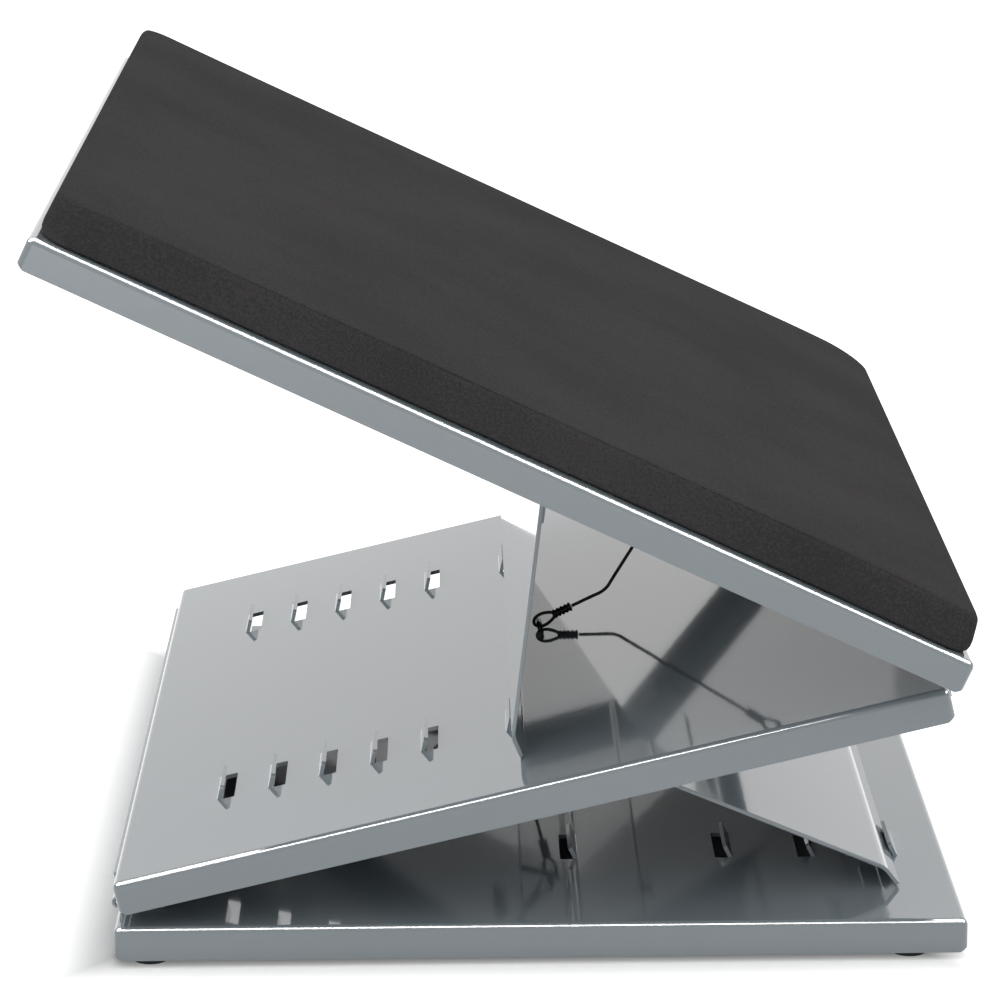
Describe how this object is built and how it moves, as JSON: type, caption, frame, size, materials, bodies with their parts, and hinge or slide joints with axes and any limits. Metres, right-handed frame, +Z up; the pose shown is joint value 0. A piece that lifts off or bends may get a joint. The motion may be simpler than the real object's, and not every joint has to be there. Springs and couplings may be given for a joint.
{
  "type": "footrest",
  "caption": "Folding footrest of hinged sheet metal trays, set to a slope by props behind lanced tabs, with a soft pad on the top tray.",
  "frame": {"origin": "on the surface the footrest stands on, below the middle of its outline", "axes": "+X from the base hinge towards the top hinge, +Y across the feet along the hinges, +Z up"},
  "size_m": [0.3269, 0.45, 0.2764],
  "materials": {
    "pad": "matte soft foam with a fine grain",
    "painted_sheet": "glossy grey paint with a fine orange peel",
    "painted_top_sheet": "glossy grey paint with a fine orange peel",
    "painted_prop": "glossy grey paint",
    "hinge_leaf": "dull grey steel",
    "plated_steel": "bright zinc plate",
    "rubber": "matte black",
    "black_fitting": "satin black",
    "cable_jacket": "satin black jacket"
  },
  "bodies": {
    "base": {"base_tray": "painted_sheet", "base_hinge_base_leaf": "hinge_leaf", "base_hinge_pin": "plated_steel", "rubber_foot_front_left": "rubber", "rubber_foot_front_right": "rubber", "rubber_foot_back_left": "rubber", "rubber_foot_back_right": "rubber", "foot_screw_front_left": "plated_steel", "foot_screw_front_right": "plated_steel", "foot_screw_back_left": "plated_steel", "foot_screw_back_right": "plated_steel", "foot_weld_nut_front_left": "plated_steel", "foot_weld_nut_front_right": "plated_steel", "foot_weld_nut_back_left": "plated_steel", "foot_weld_nut_back_right": "plated_steel", "lower_cable": "cable_jacket", "lower_cable_base_loop": "black_fitting", "lower_cable_base_staple": "black_fitting"},
    "middle": {"middle_tray": "painted_sheet", "base_hinge_tray_leaf": "hinge_leaf", "top_hinge_middle_leaf": "hinge_leaf", "top_hinge_pin": "plated_steel", "lower_prop_hinge_tray_leaf": "hinge_leaf", "lower_prop_hinge_pin": "plated_steel", "lower_cable_tray_loop": "black_fitting", "lower_cable_tray_staple": "black_fitting", "upper_cable": "cable_jacket", "upper_cable_middle_loop": "black_fitting", "upper_cable_middle_staple": "black_fitting"},
    "top": {"top_tray": "painted_top_sheet", "foot_pad": "pad", "top_hinge_top_leaf": "hinge_leaf", "upper_prop_hinge_tray_leaf": "hinge_leaf", "upper_prop_hinge_pin": "plated_steel", "upper_cable_top_loop": "black_fitting", "upper_cable_top_staple": "black_fitting"},
    "lower_prop": {"lower_prop": "painted_prop", "lower_prop_hinge_wing": "hinge_leaf"},
    "upper_prop": {"upper_prop": "painted_prop", "upper_prop_hinge_wing": "hinge_leaf"}
  },
  "joints": [
    {"name": "base_hinge", "type": "hinge", "parent": "base", "child": "middle", "pos_m": [-0.13981, 0, 0.0169], "axis": [0, -1, 0], "range_deg": [0, 30], "deforming": ["lower_cable"]},
    {"name": "top_hinge", "type": "hinge", "parent": "middle", "child": "top", "pos_m": [0.15412, 0, 0.09948], "axis": [0, 1, 0], "range_deg": [0, 3], "deforming": ["upper_cable"]},
    {"name": "lower_prop_hinge", "type": "hinge", "parent": "middle", "child": "lower_prop", "pos_m": [0.02611, 0, 0.06364], "axis": [0, 1, 0], "range_deg": [0, 51]},
    {"name": "upper_prop_hinge", "type": "hinge", "parent": "top", "child": "upper_prop", "pos_m": [0.01677, 0, 0.17414], "axis": [0, -1, 0], "range_deg": [0, 3]}
  ],
  "couplings": [
    {"joint": "lower_prop_hinge", "follows": "base_hinge", "ratio": 1.7},
    {"joint": "upper_prop_hinge", "follows": "top_hinge", "ratio": 1}
  ]
}
